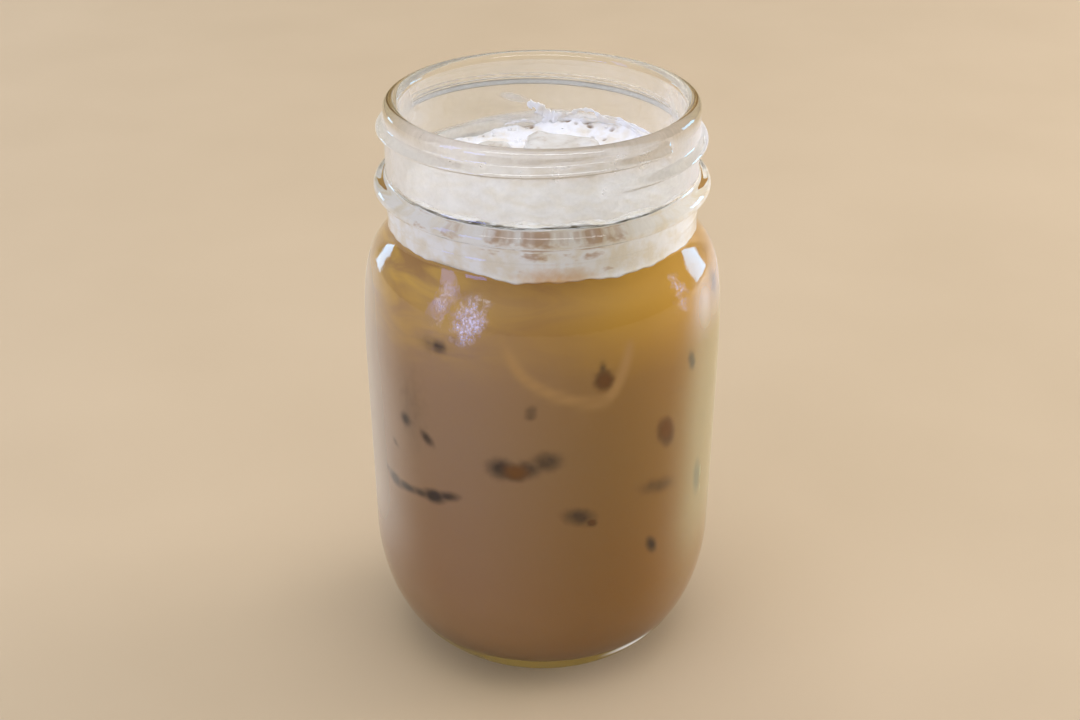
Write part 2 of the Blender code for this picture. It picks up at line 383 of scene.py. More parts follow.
# Dark spots where sunk ice touches the glass
ICE_SPOTS = [
    (-34.4, 87.1, 1.6, 1.1, 0, 0.80),
    (-36.5, 87.0, 2.8, 1.3, 0, 0.50),
    (-47.0, 70.0, 4.0, 9.0, 0, 0.30),
    (19.3, 82.0, 1.6, 1.7, 0, 0.80),
    (19.0, 84.4, 0.7, 1.5, 0, 0.60),
    (-3.5, 75.4, 1.0, 1.2, -20, 0.70),
    (-49.3, 66.8, 1.4, 1.3, -35, 0.85),
    (-39.8, 64.6, 1.7, 1.0, -38, 0.80),
    (-56.1, 59.0, 1.3, 0.5, -40, 0.55),
    (55.3, 79.3, 1.0, 1.8, 20, 0.85),
    (43.3, 65.2, 1.6, 2.8, 22, 0.8),
    (76.3, 90.8, 2.2, 2.4, 0, 0.70),
    (-13.0, 61.6, 2.5, 2.0, 0, 0.80),
    (-9.0, 60.8, 2.6, 1.5, 0, 0.80),
    (1.5, 63.9, 2.6, 1.9, 8, 0.66),
    (-4.5, 62.0, 2.4, 1.7, 10, 0.66),
    (-63.5, 50.4, 1.8, 0.5, -25, 0.75),
    (-57.8, 49.0, 2.1, 1.1, -12, 1.00),
    (-51.0, 49.2, 2.6, 0.8, 4, 0.95),
    (-43.5, 49.8, 2.8, 0.8, 5, 0.75),
    (-37.8, 50.5, 2.2, 1.3, 10, 1.00),
    (-32.0, 51.8, 2.2, 0.9, 15, 0.80),
    (12.0, 49.7, 2.8, 1.6, -14, 0.72),
    (16.1, 47.9, 1.0, 0.7, -30, 0.85),
    (63.6, 47.5, 1.3, 3.4, 6, 0.90),
    (41.2, 52.5, 4.2, 1.5, -14, 0.50),
    (39.2, 37.6, 1.0, 1.9, 28, 0.85),
]
# Their clear amber hearts
AMBER_SPOTS = [
    (19.6, 81.8, 1.4, 1.4, 0, 1.0),
    (43.5, 65.8, 1.5, 2.4, 24, 1.0),
    (-8.4, 61.2, 2.0, 1.5, 0, 0.9),
    (16.4, 47.9, 0.8, 0.6, -30, 0.8),
]
# The pale lower edge of a block that lies close behind the front glass: angle and height along it
BLOCK_EDGE = [
    (-14.8, 94.9), (-11.6, 90.2), (-6.8, 84.3), (0.8, 80.6), (9.0, 78.3),
    (17.0, 77.2), (22.0, 78.4), (26.0, 83.4), (28.4, 88.5),
]
# Brown gaps at the foam's side, given as the spots are
FOAM_GAPS = [
    (-50.0, 110.4, 2.6, 0.8, 0, 0.6),
    (-34.7, 110.2, 2.2, 0.9, 0, 0.7),
    (-15.3, 110.1, 2.6, 0.8, 0, 0.8),
    (-1.8, 109.8, 3.4, 1.1, 0, 1.0),
    (8.0, 110.0, 1.6, 0.7, 0, 0.6),
    (18.5, 109.9, 2.8, 1.0, 0, 0.95),
    (27.0, 110.2, 2.2, 0.8, 0, 0.8),
    (-20.0, 107.9, 3.0, 0.9, 0, 0.5),
    (-2.5, 107.3, 2.3, 0.9, 0, 0.95),
    (18.1, 107.0, 2.6, 0.7, 6, 0.75),
    (9.0, 107.6, 2.2, 0.5, 0, 0.45),
    (24.5, 103.6, 1.1, 0.5, 0, 0.8),
    (-8.0, 103.9, 0.7, 0.35, 0, 0.6),
]


def hidden_spots(count=14):
    """Spots like the front ones for the sides and back, at seeded places and sizes."""
    rng = np.random.default_rng(41)
    ranges = ((92, 262), (34, 92), (0.8, 2.6), (0.6, 1.8), (-40, 40), (0.4, 0.95))
    return np.stack([rng.uniform(low, high, count) for low, high in ranges], -1).tolist()


def nearness(spots, angle, z, radius):
    """1 in the heart of a spot's ellipse, falling evenly to 0 at twice its size, times its strength."""
    near = np.zeros(np.broadcast(angle, z).shape)
    for place, height, half_wide, half_high, tilt, strength in spots:
        u, v = signed(angle - math.radians(place)) * radius, z - height
        c, s = math.cos(math.radians(tilt)), math.sin(math.radians(tilt))
        reach = np.hypot((u * c + v * s) / half_wide, (v * c - u * s) / half_high)
        near = np.maximum(near, strength * np.clip((2.0 - reach) / 1.6, 0, 1))
    return near


def line_nearness(line, angle, z, radius, half_width):
    """1 on a smooth line through the given angles and heights, falling evenly to 0 at its half width."""
    path = smooth_line(line, 40)
    u, v = np.radians(path[:, 0]) * radius, path[:, 1]
    off = signed(angle) * radius
    nearest = np.full(off.shape, 1e3)
    for k in range(len(u) - 1):
        du, dv = u[k + 1] - u[k], v[k + 1] - v[k]
        t = np.clip(((off - u[k]) * du + (z - v[k]) * dv) / (du * du + dv * dv), 0, 1)
        nearest = np.minimum(nearest, np.hypot(off - u[k] - t * du, z - v[k] - t * dv))
    return np.clip(1 - nearest / half_width, 0, 1)


def smooth_line(line, count):
    """A curve through the given points: each span is a cubic whose ends run along the neighbouring points."""
    line = np.array(line, float)
    ends = np.vstack([2 * line[0] - line[1], line, 2 * line[-1] - line[-2]])
    t = np.linspace(0, len(line) - 1 - 1e-9, count)
    k = t.astype(int)
    t = (t - k)[:, None]
    a, b, c, d = ends[k], ends[k + 1], ends[k + 2], ends[k + 3]
    return 0.5 * (2 * b + (c - a) * t + (2 * a - 5 * b + 4 * c - d) * t * t + (3 * b - a - 3 * c + d) * t**3)


def drink():
    """The coffee: the hollow's form carried just into the wall, shut by a level top under the foam."""
    wall = hollow_profile(INTO_WALL)
    wall = wall[wall[:, 1] < COFFEE_LEVEL + 1.0]
    top = np.stack([np.linspace(wall[-1, 0] - 0.3, 1.0, 8), np.full(8, COFFEE_LEVEL + 1.2)], -1)
    grid = turned(np.vstack([wall, top]), 500)
    angle, z = front_angle(grid), grid[..., 2]
    fields = {
        "sunk_ice": nearness(ICE_SPOTS + hidden_spots(), angle, z, COFFEE_FACE_R),
        "amber": nearness(AMBER_SPOTS, angle, z, COFFEE_FACE_R),
        "block_edge": line_nearness(BLOCK_EDGE, angle, z, COFFEE_FACE_R, 2.2) * (1 - ramp(84.0, 96.0, z)),
    }
    return closed_piece("coffee_drink", grid, fields)


def foam_height(points):
    """Height of the foam's top: slow sines, fine lumps, a rim that clings to the wall, a lick at the back."""
    x, y = points[..., 0], points[..., 1]
    r = np.hypot(x, y)
    wave = np.sin(0.19 * x + 1.3) * np.cos(0.23 * y - 0.4) + 0.6 * np.sin(0.41 * x - 0.26 * y)
    turn = (front_angle(points) - math.radians(152)) / math.radians(33)
    inset = np.clip(MOUTH_R - r, 0, None)
    lick = np.exp(-turn * turn - inset / 4.2)
    flat = points * (1, 1, 0)
    lumps = 0.16 * waves(flat, 5.0, 3) + 0.09 * waves(flat, 1.9, 4) + 0.05 * waves(flat, 0.9, 5)
    return FOAM_LEVEL + 0.35 * wave + 2.8 * lick + 0.6 * np.exp(-inset) + lumps


# Open brown places in the froth at the back: angle, distance from the axis, half width, half length and depth
FOAM_HOLES = [
    (186.5, 30.1, 1.9, 0.9, 0.9),
    (184.6, 29.2, 0.7, 0.6, 1.0),
    (170.6, 30.2, 1.1, 1.0, 0.9),
    (168.6, 29.6, 0.8, 0.5, 1.0),
    (164.6, 29.0, 0.7, 0.5, 0.8),
    (160.0, 30.0, 1.4, 0.9, 1.0),
    (158.0, 28.9, 0.9, 0.5, 1.0),
    (147.0, 28.9, 0.8, 0.6, 0.8),
    (154.0, 26.0, 0.7, 0.5, 0.7),
    (147.0, 25.7, 0.6, 0.6, 0.9),
    (207.2, 29.4, 0.4, 0.4, 0.8),
    (193.2, 25.6, 0.5, 0.3, 0.5),
    (175.0, 29.8, 0.6, 0.4, 0.5),
]


def foam_holes(points):
    """A bell curve along and across each open place of the froth; where they meet, the stronger one."""
    x, y = points[..., 0], points[..., 1]
    near = np.zeros(points.shape[:-1])
    for angle, r, half_wide, half_long, depth in FOAM_HOLES:
        way = math.radians(angle)
        dx, dy = x - r * math.sin(way), y + r * math.cos(way)
        along = dx * math.cos(way) + dy * math.sin(way)
        inwards = dx * math.sin(way) - dy * math.cos(way)
        near = np.maximum(near, depth * bell(0, half_wide, along) * bell(0, half_long, inwards))
    return near


def foam_pits(points, count=46):
    """Burst bubbles: seeded round dents, deepest in their middle and with a low raised edge."""
    rng = np.random.default_rng(8)
    dent = np.zeros(points.shape[:-1])
    for _ in range(count):
        angle = math.pi + rng.normal(0, 1.3)
        r = 29.0 * math.sqrt(rng.uniform(0.1, 1.0))
        size = rng.uniform(0.3, 0.9)
        reach = np.hypot(points[..., 0] - r * math.sin(angle), points[..., 1] + r * math.cos(angle)) / size
        dent += size * (0.30 * np.exp(-((reach - 1.15) ** 2) * 9) - 0.95 * np.exp(-((reach / 0.75) ** 4)))
    return dent


def foam():
    """The head of foam: an uneven top, a side against the glass and a lower edge that waves.

    The side's rows run evenly from the top's edge to the lower edge, whose height is a sum of sines round the
    jar, raised by a bell curve at two places. The fields say where the finish is tan, where it has gaps and
    holes, and where a dark ring runs along the glass.
    """
    columns = 480
    outer = MOUTH_R + FOAM_INTO_WALL
    radii = np.concatenate([np.linspace(0.4, 8.0, 14), np.linspace(8.4, outer, 62)])
    top = turned(np.stack([radii, np.full(len(radii), FOAM_LEVEL)], -1), columns)
    inset = (outer - radii)[:, None]
    holes = foam_holes(top)
    top[..., 2] = foam_height(top) + foam_pits(top) * ramp(0.0, 1.2, inset) - 0.7 * holes
    angle = np.arange(columns) / columns * math.tau
    off = np.degrees(signed(angle))
    low = COFFEE_LEVEL + 0.15 + 0.26 * np.sin(8 * angle) + 0.20 * np.sin(19 * angle + 2)
    low += 0.12 * np.sin(47 * angle)
    low += 1.5 * bell(-34, 15, off) + 1.2 * bell(-62, 19, off)
    rise = np.linspace(1, 0, 26)[1:, None]
    z = low * (1 - rise) + top[-1, :, 2] * rise
    wall = hollow_profile(FOAM_INTO_WALL)
    r = np.interp(z, wall[:, 1], wall[:, 0])
    side = np.stack([r * np.sin(angle), -r * np.cos(angle), z], -1)
    under = turned(np.stack([np.linspace(outer - 1.0, 1.0, 4), np.full(4, COFFEE_LEVEL + 0.4)], -1), columns)
    grid = np.concatenate([top, side, under])
    gaps = nearness(FOAM_GAPS, front_angle(grid), grid[..., 2], MOUTH_R)
    gaps *= ramp(MOUTH_R - 1.5, MOUTH_R, np.hypot(grid[..., 0], grid[..., 1]))
    wide = 1.0 + 2.6 * bell(-24, 10, off) + 2.2 * bell(13, 8, off)
    wide *= 1 + 0.25 * np.sin(23 * angle) + 0.15 * np.sin(61 * angle + 1)
    ring = (1 - ramp(0.7 * wide, 1.5 * wide, inset)) * (1 - ramp(44, 74, np.abs(off + 4)))
    ring *= 0.85 + 0.15 * np.sin(37 * angle)
    below = np.zeros((len(side) + len(under), columns))
    fields = {
        "gap": gaps,
        "hole": np.vstack([holes, below]),
        "ring": np.vstack([ring, below]),
        "tan": bell(5, 17, off) * (1 - ramp(COFFEE_LEVEL - 0.5, COFFEE_LEVEL + 7.0, grid[..., 2])),
    }
    return closed_piece("milk_foam", grid, fields)


# Ice blocks: node, name, middle of the top, size, turn in degrees, rounding of the edges and seed
ICE_BLOCKS = [
    ("ice_right", "ice_block_right", (3.4, 11.4, 114.9), (17.2, 18.5, 16.2), (2.0, 5.0, -8.0), 2.8, 11),
    ("ice_left", "ice_block_left", (-11.0, 10.0, 114.5), (8.4, 14.0, 14.5), (3.0, 3.0, 0.0), 2.6, 12),
]


def ice(name, top, size, turn, round_off, seed):
    """A melted block: each direction's point on a rounded box, tapered downwards, with soft dents."""
    rows, columns = 72, 108
    v = np.linspace(0.02, math.pi - 0.02, rows)[:, None]
    u = np.arange(columns)[None, :] / columns * math.tau
    way = np.stack([np.sin(v) * np.cos(u), np.sin(v) * np.sin(u), np.cos(v) + 0 * u], -1)
    half = np.array(size) / 2
    reach = way * 40.0
    core = np.clip(reach, -(half - round_off), half - round_off)
    out = reach - core
    p = core + round_off * out / np.linalg.norm(out, axis=-1, keepdims=True)
    p[..., :2] *= np.interp(p[..., 2], (-half[2], half[2]), (0.86, 1.0))[..., None]
    dents, fine_dents = waves(p, 9.0, seed)[..., None], waves(p, 3.0, seed + 1)[..., None]
    p = p * (1 + 0.012 * dents) - way * 0.12 * (1 + fine_dents)
    a, b, c = (math.radians(t) for t in turn)
    spin_x = np.array([[1, 0, 0], [0, math.cos(a), -math.sin(a)], [0, math.sin(a), math.cos(a)]])
    spin_y = np.array([[math.cos(b), 0, math.sin(b)], [0, 1, 0], [-math.sin(b), 0, math.cos(b)]])
    spin_z = np.array([[math.cos(c), -math.sin(c), 0], [math.sin(c), math.cos(c), 0], [0, 0, 1]])
    return closed_piece(name, p @ (spin_z @ spin_y @ spin_x).T + (top[0], top[1], top[2] - size[2] / 2))


def gathered(parts):
    """Several (points, faces) pairs as one."""
    starts = np.cumsum([0] + [len(points) for points, _ in parts[:-1]])
    faces = [faces + start for (_, faces), start in zip(parts, starts)]
    return np.vstack([points for points, _ in parts]), np.vstack(faces)


def on_wall(angle, z, radius):
    """Points at an angle in degrees from the front, a height and a radius."""
    a = np.radians(angle)
    return np.stack([radius * np.sin(a), -radius * np.cos(a), z + 0 * a], -1)


def strand(line, width, thickness, seed):
    """A strand on the inner wall: a flat ellipse along a smooth line, uneven and thinning out at its ends."""
    count, sides = 60, 8
    rng = np.random.default_rng(seed)
    path = smooth_line(line, count)
    t = np.linspace(0, 1, count)
    path[:, 1] += 0.10 * np.sin(t * rng.uniform(18, 30) + rng.uniform(0, 6))
    run = np.gradient(path, axis=0) * (math.radians(1) * MOUTH_R, 1.0)
    run /= np.linalg.norm(run, axis=1, keepdims=True)
    uneven = 1 + 0.35 * np.sin(t * rng.uniform(14, 22) + rng.uniform(0, 6)) + 0.2 * np.sin(t * 47 + seed)
    swell = np.sin(np.clip(t * 6, 0, 1) * math.pi / 2) * np.sin(np.clip((1 - t) * 6, 0, 1) * math.pi / 2)
    half = 0.5 * width * uneven * (0.12 + 0.88 * swell)
    around = np.arange(sides) / sides * math.tau
    sideways = half[:, None] * np.cos(around)
    depth = 0.5 * thickness * (0.3 + 0.7 * swell)[:, None] * np.sin(around)
    angle = path[:, 0:1] - np.degrees(sideways * run[:, 1:2] / MOUTH_R)
    z = path[:, 1:2] + sideways * run[:, 0:1]
    return closed_rows(on_wall(angle, z, MOUTH_R - 0.02 - 0.5 * thickness - depth))


# Strands of froth left on the wall above the foam: line of angles and heights, width and thickness
STRANDS = [
    ([(186.6, 118.3), (184.0, 117.9), (181.6, 117.2), (179.0, 116.6), (176.6, 115.8)], 1.7, 0.35),
    ([(182.3, 117.3), (179.5, 116.1), (176.4, 114.9), (173.5, 113.9)], 2.1, 0.40),
    ([(179.6, 112.2), (178.3, 114.1), (174.7, 115.3), (169.3, 115.6)], 1.6, 0.35),
    (
        [
            (170.4, 115.0), (166.8, 116.2), (163.7, 116.9), (160.5, 117.2),
            (157.3, 117.0), (153.9, 116.2), (150.8, 115.4),
        ],
        0.8,
        0.30,
    ),
    (
        [
            (171.8, 115.0), (167.7, 114.5), (163.2, 114.4), (158.6, 114.6),
            (153.9, 115.2), (148.1, 115.5), (141.9, 115.5), (134.3, 115.2),
        ],
        1.1,
        0.30,
    ),
    (
        [(154.0, 116.0), (148.1, 116.4), (142.0, 116.1), (135.9, 115.7), (128.0, 115.2), (120.0, 114.6)],
        0.5,
        0.15,
    ),
    ([(152.0, 113.6), (146.0, 114.3), (139.0, 114.5), (131.0, 113.9)], 0.9, 0.30),
    ([(197.0, 113.4), (192.0, 113.9), (187.0, 114.0), (182.5, 113.6)], 0.6, 0.15),
    ([(118.0, 113.9), (110.0, 114.3), (101.0, 113.6)], 0.7, 0.25),
    ([(262.0, 113.4), (251.0, 114.2), (243.0, 113.6)], 0.6, 0.20),
    ([(300.0, 113.3), (291.0, 114.0), (281.0, 113.5)], 0.6, 0.20),
    ([(58.0, 113.2), (68.0, 113.9), (78.0, 113.4)], 0.6, 0.20),
]


def froth_strands():
    """Every strand of froth as one mesh."""
    return new_piece("froth_strands", *gathered([strand(*row, seed) for seed, row in enumerate(STRANDS)]))


# Broader smears of the film high on the wall, given as the spots are
FILM_PATCHES = [
    (192.4, 119.7, 2.2, 0.6, 18, 0.40),
    (200.0, 115.2, 5.0, 0.35, 0, 0.40),
    (191.5, 114.0, 3.2, 0.35, 0, 0.45),
]
# How high the film reaches on the wall: angles in degrees and heights
FILM_TOPS = [
    (0, 111.3), (60, 111.3), (95, 113.6), (120, 115.0), (137, 115.8), (152, 116.4), (166, 116.3),
    (178, 116.7), (190, 116.4), (203, 116.0), (213, 115.4), (234, 114.9), (262, 113.6), (300, 111.3),
    (360, 111.3),
]


def neck_film():
    """The thin milky film that froth leaves on the neck: a closed shell that reaches just into the wall.

    It is dense up to FILM_TOPS and in the smears, and a thin haze above. The fields say how much it covers,
    where it is dun, at the front below the lip, and where it is white, at the back.
    """
    rows, columns = 48, 288
    heights = np.linspace(111.0, 128.4, rows)
    outer = np.stack([np.full(rows, MOUTH_R + 0.06), heights], -1)
    inner = np.stack([np.full(rows, MOUTH_R + 0.02), heights[::-1]], -1)
    grid = turned(np.vstack([outer, inner]), columns)
    angle, z = front_angle(grid), grid[..., 2]
    around, off = np.degrees(angle), np.degrees(signed(angle))
    band = 1 - ramp(-1.0, 0.8, z - np.interp(around, *zip(*FILM_TOPS)))
    front = 1 - ramp(95, 130, np.abs(off))
    haze = (0.14 + 0.28 * front) * (1 - 0.9 * front * (1 - ramp(113.0, 115.0, z + 0.4 * np.sin(17 * angle))))
    white = between(105, 130, 179, 186, around)
    band *= 0.5 + 0.45 * white
    fields = {
        "film": np.maximum(band, haze) + nearness(FILM_PATCHES, angle, z, MOUTH_R),
        "dun": (0.4 + 0.6 * ramp(-20, 10, off)) * (1 - ramp(50, 85, np.abs(off))) * ramp(121.5, 124.0, z),
        "white": np.maximum(white, 0.65 * (1 - front)) * np.maximum(band, 0.3),
    }
    return new_piece("neck_film", grid.reshape(-1, 3), grid_faces(2 * rows, columns, ring=True), fields)


def froth_bubbles():
    """Whole bubbles on the foam, most of them near the wall: domes of three rings and a top."""
    rng = np.random.default_rng(21)
    count, flatness = 260, 0.85
    angle = rng.uniform(0, 360, count)
    r = 29.3 - 24.0 * rng.uniform(0, 1, count) ** 2.2
    size = 0.16 + 0.42 * rng.uniform(0, 1, count) ** 3
    place = on_wall(angle, 0.0, r)
    place[:, 2] = foam_height(place) - 0.15 * size
    polar = np.radians([90.0, 62.0, 32.0])
    dome, faces = closed_rows(turned(np.stack([np.sin(polar), flatness * np.cos(polar)], -1), 8))
    dome[-1] = (0, 0, flatness)
    points = place[:, None] + dome * size[:, None, None]
    faces = faces + (np.arange(count) * len(dome))[:, None, None]
    return new_piece("froth_bubbles", points.reshape(-1, 3), faces.reshape(-1, 4))


def add(tree, kind, settings=None, links=None):
    """A shader node. Settings are properties or values of inputs, where a text is a colour, and `stops` are a
    ramp's positions and colours. A link comes from an output, or from a node's first output."""
    node = tree.nodes.new("ShaderNode" + kind)
    for key, value in (settings or {}).items():
        if key == "stops":
            for _ in value[2:]:
                node.color_ramp.elements.new(0.5)
            for element, (position, colour) in zip(node.color_ramp.elements, value):
                element.position = position
                element.color = linear(colour)
        elif isinstance(key, str) and hasattr(node, key):
            setattr(node, key, value)
        else:
            node.inputs[key].default_value = linear(value) if isinstance(value, str) else value
    for key, source in (links or {}).items():
        output = source.outputs[0] if isinstance(source, bpy.types.Node) else source
        tree.links.new(output, node.inputs[key])
    return node


TIMES = {"operation": "MULTIPLY"}


def new_finish(name):
    """A material, its node tree and the place of a point in the piece."""
    material = bpy.data.materials.new(name)
    material.use_nodes = True
    material.node_tree.nodes.clear()
    return material, material.node_tree, add(material.node_tree, "TexCoord").outputs["Object"]


def painted(tree, colour, blend, layers):
    """Colours laid over one another, each by a field of the mesh, made uneven by a noise.

    A layer's share is the blend of field + wobble * (noise - 0.5) from start to end, times its full share.
    """
    for name, noise, wobble, start, end, full, shade in layers:
        field = add(tree, "Attribute", {"attribute_name": name}).outputs["Fac"]
        uneven = add(tree, "Math", {"operation": "MULTIPLY_ADD", 1: wobble, 2: -wobble / 2}, {0: noise})
        near = add(tree, "Math", {"operation": "ADD"}, {0: field, 1: uneven})
        span = {"interpolation_type": blend, "From Min": start, "From Max": end, "To Max": full}
        share = add(tree, "MapRange", span, {"Value": near})
        colour = add(tree, "Mix", {"data_type": "RGBA", 7: shade}, {0: share, 6: colour}).outputs[2]
    return colour


def pressed_glass():
    """Soda-lime glass, pressed and blown in a mould: smooth with a slight long ripple, misted where dew lies.

    What its thick parts catch from the room is painted on it as matt layers: a pale haze at glancing angles,
    partly mist and partly painted reflection, the base's painted olive band of light and glowing painted
    highlight streak, and painted glints on the droplets of the dew. These are drawn 0.5 mm wide, coarser than
    real ones, so that they show.
    """
    material, tree, place = new_finish("pressed soda-lime glass")
    at = {"Vector": place}
    field = {}
    for name in ("dew", "veil", "base", "streak", "lip"):
        field[name] = add(tree, "Attribute", {"attribute_name": name}).outputs["Fac"]
    ripple = add(tree, "TexNoise", {"Scale": 1 / (9 * MM), "Detail": 2.0}, at)
    grain = add(tree, "TexNoise", {"Scale": 1 / (0.9 * MM), "Detail": 2.0, "Roughness": 0.6}, at)
    bump = add(tree, "Bump", {"Strength": 0.12, "Distance": 0.3 * MM}, {"Height": ripple})
    misted = {"Height": grain, "Strength": field["dew"], "Normal": bump}
    mist = add(tree, "Bump", {"Distance": 0.20 * MM}, misted)
    rough = add(tree, "MapRange", {"To Min": 0.0, "To Max": 0.30}, {"Value": field["dew"]})
    # Painted ochre on the lip's sides, for the room they show
    tint = add(tree, "Mix", {"data_type": "RGBA", 6: "#FDFEFC", 7: "#BFA877"}, {0: field["lip"]}).outputs[2]
    glass = add(
        tree,
        "BsdfPrincipled",
        {"IOR": 1.52, "Transmission Weight": 1.0},
        {"Base Color": tint, "Normal": mist, "Roughness": rough},
    )
    # A pale haze at glancing angles, partly mist and partly painted reflection of the room
    edge = add(tree, "LayerWeight", {"Blend": 0.5}, {"Normal": bump})
    glancing = add(
        tree,
        "MapRange",
        {"interpolation_type": "SMOOTHSTEP", "From Min": 0.38, "From Max": 0.85, "To Max": 0.50},
        {"Value": edge.outputs["Facing"]},
    )
    veil = add(tree, "Math", TIMES, {0: glancing, 1: field["veil"]})
    # The haze's colour is painted light: beige to the left, bluish white to the right, olive yellow low on
    # the right
    split = add(tree, "SeparateXYZ", {}, {0: place})
    side = add(tree, "MapRange", {"From Min": 10 * MM, "From Max": 30 * MM}, {"Value": split.outputs["X"]})
    low = add(tree, "MapRange", {"From Min": 92 * MM, "From Max": 82 * MM}, {"Value": split.outputs["Z"]})
    warm = add(tree, "Math", TIMES, {0: side, 1: low})
    pale = add(tree, "Mix", {"data_type": "RGBA", 6: "#D9D2C1", 7: "#DCDEE2"}, {0: side}).outputs[2]
    pale = add(tree, "Mix", {"data_type": "RGBA", 7: "#C2C09A"}, {0: warm, 6: pale}).outputs[2]
    # Painted olive band of light in the base
    painted_olive_band = add(tree, "Math", {"operation": "MULTIPLY", 1: 0.75}, {0: field["base"]})
    # Painted glints on the dew: pale lilac droplet spots where the dew is thick
    drop = add(tree, "TexVoronoi", {"Scale": 1 / (0.5 * MM)}, at)
    torn = add(tree, "TexNoise", {"Scale": 1 / (2.6 * MM), "Detail": 2.0}, at)
    wet, sparse, uneven = (
        add(
            tree,
            "MapRange",
            {"interpolation_type": blend, "From Min": start, "From Max": end, "To Min": 0.3, "To Max": full},
            {"Value": source},
        )
        for source, blend, start, end, full in (
            (drop, "SMOOTHSTEP", 0.70, 0.25, 1.0),
            (grain, "LINEAR", 0.36, 0.52, 1.0),
            (torn, "LINEAR", 0.3, 0.65, 1.15),
        )
    )
    lit = add(tree, "Math", TIMES, {0: wet, 1: sparse})
    ragged = add(tree, "Math", TIMES, {0: field["dew"], 1: uneven})
    thick = add(tree, "MapRange", {"From Min": 0.25, "From Max": 0.9, "To Max": 0.85}, {"Value": ragged})
    lens = add(tree, "Math", TIMES, {0: lit, 1: thick})
    # Matt layers over the glass: the glancing haze, partly painted reflection; the painted olive band; a
    # painted highlight streak that glows; painted glints on the dew
    for share, layer in (
        (veil, add(tree, "BsdfDiffuse", {}, {"Color": pale})),
        (painted_olive_band, add(tree, "BsdfDiffuse", {"Color": "#A89450"})),
        (field["streak"], add(tree, "Emission", {"Color": "#D9D2CC"})),
        (lens, add(tree, "BsdfDiffuse", {"Color": "#E2DEFF"})),
    ):
        glass = add(tree, "MixShader", {}, {0: share, 1: glass, 2: layer})
    # The lamps' and the room's light passes straight through the wall
    path = add(tree, "LightPath")
    rays = {0: path.outputs["Is Shadow Ray"], 1: path.outputs["Is Diffuse Ray"]}
    passing = add(tree, "Math", {"operation": "MAXIMUM"}, rays)
    clear = add(tree, "BsdfTransparent", {"Color": "#FAFBF8"})
    surface = add(tree, "MixShader", {}, {0: passing, 1: glass, 2: clear})
    depth = add(tree, "VolumeAbsorption", {"Color": "#E6E3CE", "Density": 48.0})
    add(tree, "OutputMaterial", {}, {"Surface": surface, "Volume": depth})
    return material


def milk_coffee():
    """Coffee with milk: opaque, golden in swirls near the top, greyer brown below, dark where ice shows, with
    painted warm light towards the front right.

    A mask grows along x, y or z from one place to another, in millimetres, and a tint's share is the product
    of its masks.
    """
    material, tree, place = new_finish("milk coffee")
    at = {"Vector": place}
    split = add(tree, "SeparateXYZ", {}, {0: place})
    cloud = add(tree, "TexNoise", {"Scale": 1 / (22 * MM), "Detail": 3.0}, at)
    level = add(tree, "MapRange", {"From Max": COFFEE_LEVEL * MM}, {"Value": split.outputs["Z"]})
    sway = add(tree, "Math", {"operation": "MULTIPLY_ADD", 1: 0.16, 2: -0.08}, {0: cloud})
    height = add(tree, "Math", {"operation": "ADD"}, {0: level, 1: sway})
    stops = (
        (0.0, "#8C673A"),
        (0.3, "#8C6848"),
        (0.62, "#917256"),
        (0.80, "#987759"),
        (0.92, "#A58055"),
        (1.0, "#9A7448"),
    )
    colour = add(tree, "ValToRGB", {"stops": stops}, {0: height})
    flat = add(tree, "Mapping", {"Scale": (1.0, 1.0, 3.4)}, at)
    slow = {"Scale": 1 / (15 * MM), "Detail": 4.0, "Distortion": 1.4}
    swirl = add(tree, "TexNoise", slow, {"Vector": flat})
    streak = add(tree, "MapRange", {"From Min": 0.34, "From Max": 0.64}, {"Value": swirl})
    mask = {}
    for name, axis, blend, start, end, least, full in (
        ("high", "Z", "SMOOTHSTEP", 78, 97, 0.0, 1.0),
        ("left", "X", "SMOOTHSTEP", -6, -20, 0.35, 1.0),
        ("behind", "Y", "LINEAR", -12, 12, 0.0, 1.0),
        ("right", "X", "SMOOTHSTEP", -2, 18, 0.0, 0.8),
        ("ahead", "Y", "SMOOTHSTEP", 12, -18, 0.0, 1.0),
        ("side", "X", "SMOOTHSTEP", -16, 20, 0.0, 1.0),
    ):
        span = {"interpolation_type": blend, "From Min": start * MM, "From Max": end * MM}
        span |= {"To Min": least, "To Max": full}
        mask[name] = add(tree, "MapRange", span, {"Value": split.outputs[axis]})
    aside = add(tree, "Math", {"operation": "MAXIMUM"}, {0: mask["left"], 1: mask["behind"]})
    # The second and third tints are painted warm light from the right: lighter gold high at the front right,
    # and yellower to the right at the front
    for factors, mode, shade in (
        ((streak, mask["high"], aside), "MIX", "#BC954E"),
        ((mask["right"], mask["high"], mask["ahead"]), "MIX", "#C09C62"),
        ((mask["side"], mask["ahead"]), "MULTIPLY", "#FFF1AC"),
    ):
        share = factors[0]
        for factor in factors[1:]:
            share = add(tree, "Math", TIMES, {0: share, 1: factor})
        tinted = add(tree, "Mix", {"data_type": "RGBA", "blend_type": mode, 7: shade}, {0: share, 6: colour})
        colour = tinted.outputs[2]
    wisp = add(tree, "TexNoise", {"Scale": 1 / (1.8 * MM), "Detail": 3.0}, at)
    layers = (
        ("block_edge", wisp, 0.0, 0.02, 0.95, 0.85, "#B38A54"),
        ("sunk_ice", wisp, 0.3, 0.02, 0.95, 1.0, "#24130C"),
        ("amber", wisp, 0.3, 0.02, 0.95, 1.0, "#6A3E0C"),
    )
    colour = painted(tree, colour, "SMOOTHSTEP", layers)
    shader = add(
        tree, "BsdfPrincipled", {"Roughness": 0.45, "Specular IOR Level": 0.1}, {"Base Color": colour}
    )
    add(tree, "OutputMaterial", {}, {"Surface": shader})
    return material


